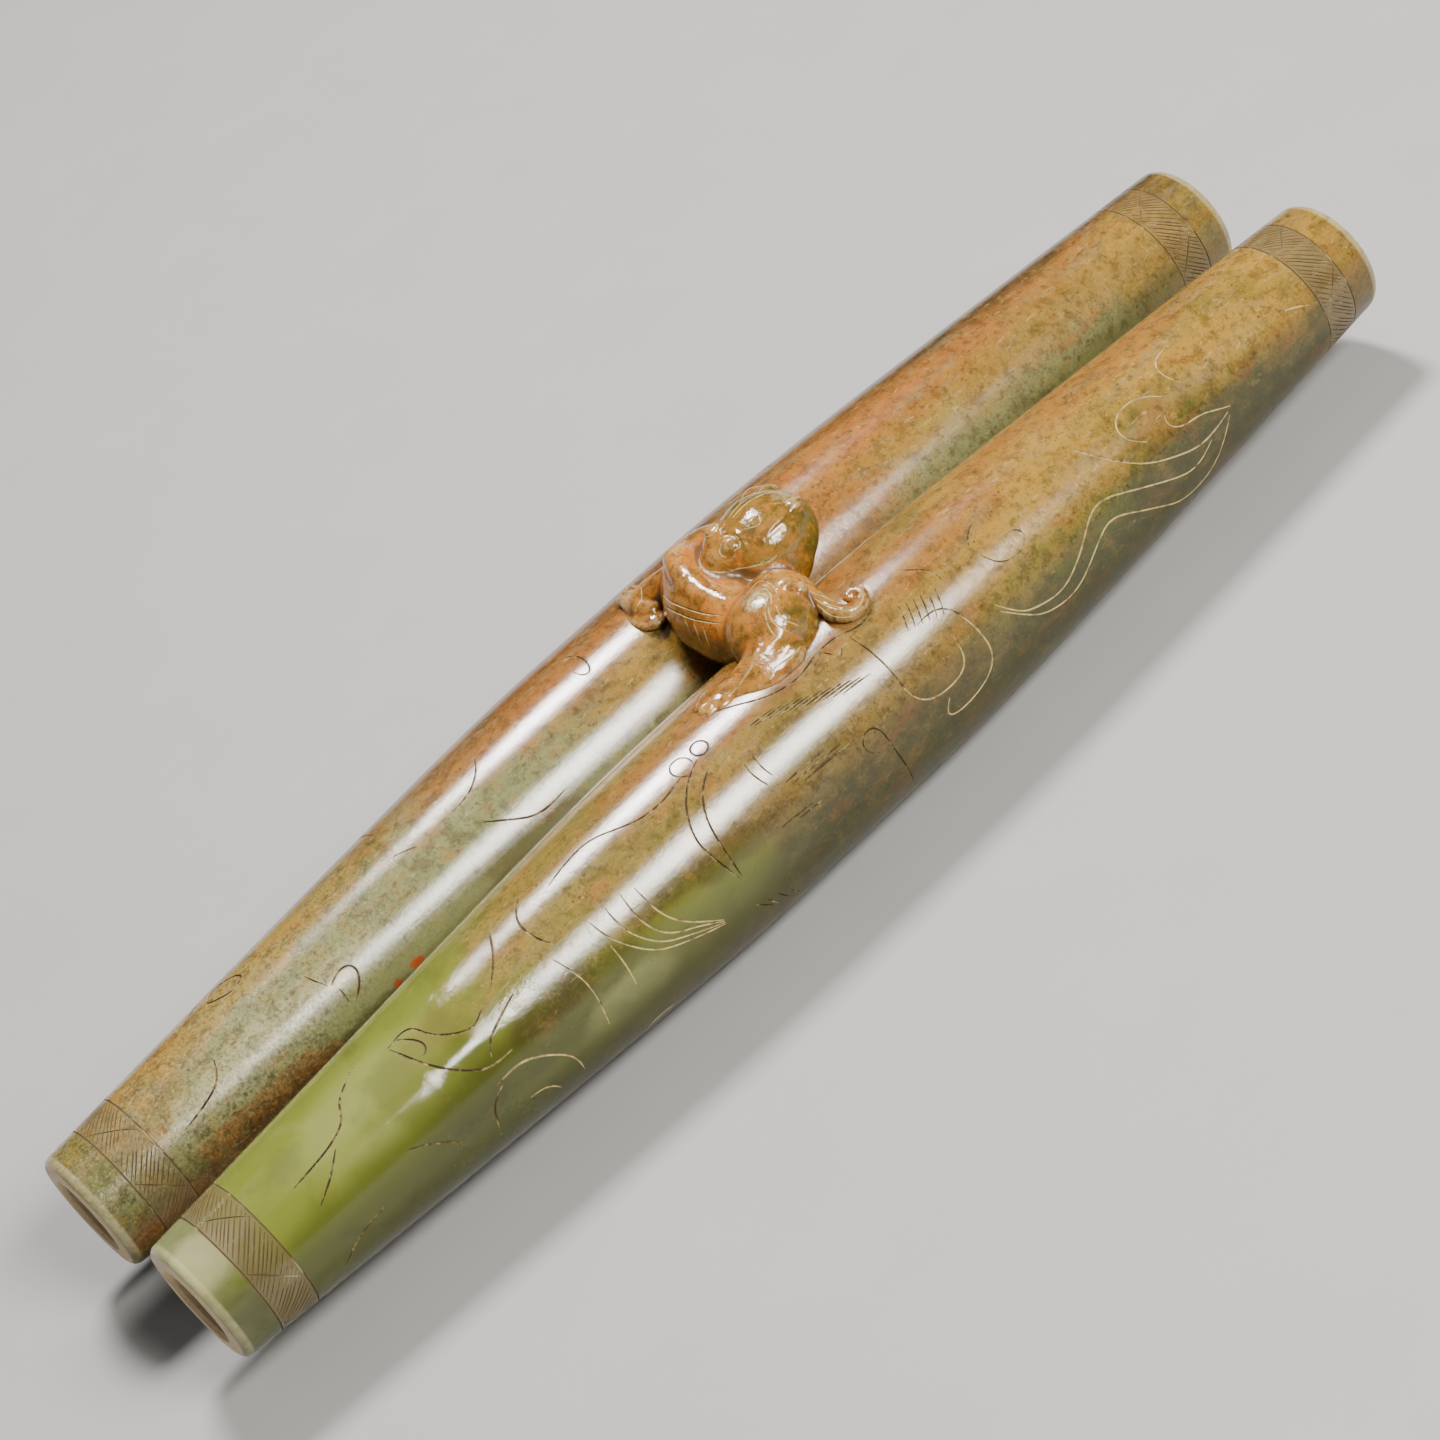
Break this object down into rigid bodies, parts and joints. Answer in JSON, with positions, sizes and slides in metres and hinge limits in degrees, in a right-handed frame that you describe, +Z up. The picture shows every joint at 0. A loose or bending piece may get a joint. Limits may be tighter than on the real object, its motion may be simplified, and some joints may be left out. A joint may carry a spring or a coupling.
{
  "type": "carved jade double tube",
  "caption": "Carved jade double tube: bored barrel-shaped tubes side by side, bridged at mid-length by a crouching beast, with collared ends, hatched bands and incised scrolls.",
  "frame": {"origin": "under the middle of the pair, on the surface that both tubes rest on", "axes": "+X along the tubes towards the end that the beast's head is nearer to, +Y from the front tube to the rear tube, +Z up towards the beast"},
  "size_m": [0.162, 0.044, 0.0291],
  "materials": {
    "front_jade": "polished olive to yellow-green jade with ochre stain and fine dark specks",
    "rear_jade": "polished celadon grey-green jade stained russet and tan along the top",
    "beast_jade": "polished russet-stained jade with cream carved lines"
  },
  "bodies": {
    "root": {"front_tube": "front_jade", "rear_tube": "rear_jade", "beast": "beast_jade"}
  },
  "joints": []
}
